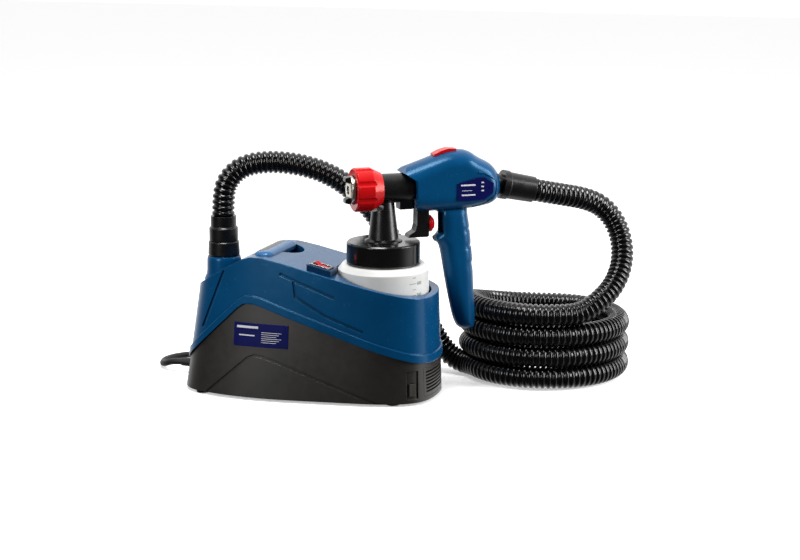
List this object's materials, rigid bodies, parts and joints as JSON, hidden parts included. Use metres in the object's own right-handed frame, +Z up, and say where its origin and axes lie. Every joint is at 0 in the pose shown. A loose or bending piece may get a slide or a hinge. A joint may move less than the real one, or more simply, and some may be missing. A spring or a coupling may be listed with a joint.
{
  "type": "turbine paint sprayer",
  "caption": "Floor-standing blower unit with a corrugated air hose and a cup-fed spray gun that stands in a round cradle in the unit.",
  "frame": {"origin": "on the floor, at the middle of the floor unit's base", "axes": "+X towards the unit's air inlet end, +Z up, the label side faces -Y"},
  "size_m": [0.5507, 0.355, 0.2766],
  "materials": {
    "blue_plastic": "satin moulded ABS, deep blue",
    "grey_plastic": "fine-grained moulded polypropylene, charcoal",
    "black_plastic": "satin glass-filled nylon, black",
    "hose_plastic": "corrugated polyethylene, black",
    "lead_sheath": "round rubber mains sheath",
    "rubber": "moulded rubber",
    "red_plastic": "glossy moulded red",
    "cup_plastic": "milky translucent polyethylene",
    "silver_trim": "metallised bezel",
    "steel": "zinc plated or bright steel",
    "brass": "turned brass",
    "foam": "open-cell filter foam",
    "navy_label": "printed polyester plate, plain navy"
  },
  "bodies": {
    "floor_unit": {"upper_cover": "blue_plastic", "lower_housing": "grey_plastic", "foot_ring": "rubber", "carry_handle": "blue_plastic", "outlet_spout": "blue_plastic", "hose_base_cuff": "black_plastic", "switch_housing": "blue_plastic", "switch_frame": "silver_trim", "air_filter": "foam", "rating_plate": "navy_label", "housing_screws": "steel", "fan_housing": "black_plastic", "outlet_duct": "black_plastic", "stator": "steel", "lower_bearing": "steel", "upper_bearing": "steel", "motor_bracket": "black_plastic", "carbon_brushes": "brass", "motor_mounts": "rubber", "cord_gland": "black_plastic", "mains_lead": "lead_sheath", "lead_coil": "lead_sheath", "lead_tail": "lead_sheath", "mains_plug": "black_plastic", "plug_pins": "brass", "hose_base_run": "hose_plastic", "hose_coil": "hose_plastic", "hose_gun_run": "hose_plastic"},
    "rotor": {"impeller": "black_plastic", "armature": "steel"},
    "collar": {"hose_collar": "black_plastic"},
    "rocker": {"rocker_switch": "red_plastic"},
    "inlet_cover": {"filter_cover": "grey_plastic"},
    "latch": {"filter_latch": "grey_plastic"},
    "gun": {"gun_shell_left": "blue_plastic", "gun_shell_right": "blue_plastic", "gun_screws": "steel", "gun_plate": "navy_label", "air_inlet": "black_plastic", "hose_gun_cuff": "black_plastic", "spray_head": "black_plastic", "packing_nut": "brass", "paint_nozzle": "steel", "needle_spring": "steel", "trigger_pin": "steel", "suction_tube": "cup_plastic", "cup_lid": "black_plastic", "lid_gasket": "rubber"},
    "cup": {"paint_cup": "cup_plastic"},
    "nut": {"ring_nut": "red_plastic"},
    "cap": {"air_cap": "black_plastic"},
    "needle": {"needle": "steel"},
    "trigger": {"trigger": "black_plastic"},
    "knob": {"flow_knob": "red_plastic"},
    "button": {"release_button": "red_plastic"}
  },
  "joints": [
    {"name": "rotor_spin", "type": "hinge", "parent": "floor_unit", "child": "rotor", "pos_m": [-0.042, 0, 0.06], "axis": [0, 0, 1], "continuous": true},
    {"name": "collar_turn", "type": "hinge", "parent": "floor_unit", "child": "collar", "pos_m": [-0.11, 0, 0.155], "axis": [0, 0, 1], "range_deg": [0, 30]},
    {"name": "rocker_tilt", "type": "hinge", "parent": "floor_unit", "child": "rocker", "pos_m": [0.026, -0.044, 0.1496], "axis": [0, -1, 0], "range_deg": [0, 20]},
    {"name": "filter_cover_pull", "type": "slide", "parent": "floor_unit", "child": "inlet_cover", "axis": [1, 0, 0], "range_m": [0, 0.03]},
    {"name": "latch_press", "type": "slide", "parent": "floor_unit", "child": "latch", "axis": [-0.6157, 0.788, 0], "range_m": [0, 0.002], "stiffness_N_per_m": 500},
    {"name": "gun_lift", "type": "slide", "parent": "floor_unit", "child": "gun", "axis": [0, 0, 1], "range_m": [0, 0.12], "deforming": ["hose_gun_run"]},
    {"name": "cup_turn", "type": "hinge", "parent": "gun", "child": "cup", "pos_m": [0.0833, 0, 0.1], "axis": [0, 0, 1], "range_deg": [0, 120]},
    {"name": "ring_nut_turn", "type": "hinge", "parent": "gun", "child": "nut", "pos_m": [0.06692, -0.01147, 0.234], "axis": [0.8192, 0.5736, 0], "continuous": true},
    {"name": "air_cap_turn", "type": "hinge", "parent": "gun", "child": "cap", "pos_m": [0.05463, -0.02007, 0.234], "axis": [0.8192, 0.5736, 0], "range_deg": [0, 90]},
    {"name": "trigger_pull", "type": "hinge", "parent": "gun", "child": "trigger", "pos_m": [0.11934, 0.02524, 0.256], "axis": [0.5736, -0.8192, 0], "range_deg": [0, 7], "stiffness_Nm_per_rad": 2},
    {"name": "needle_slide", "type": "slide", "parent": "gun", "child": "needle", "axis": [0.8192, 0.5736, 0], "range_m": [0, 0.0035]},
    {"name": "flow_knob_turn", "type": "hinge", "parent": "trigger", "child": "knob", "pos_m": [0.12835, 0.03155, 0.192], "axis": [0.8192, 0.5736, 0], "range_deg": [-135, 135]},
    {"name": "release_button_press", "type": "slide", "parent": "gun", "child": "button", "axis": [0, 0, -1], "range_m": [0, 0.003], "stiffness_N_per_m": 600}
  ],
  "couplings": [
    {"joint": "needle_slide", "follows": "trigger_pull", "m_per_rad": 0.027}
  ]
}
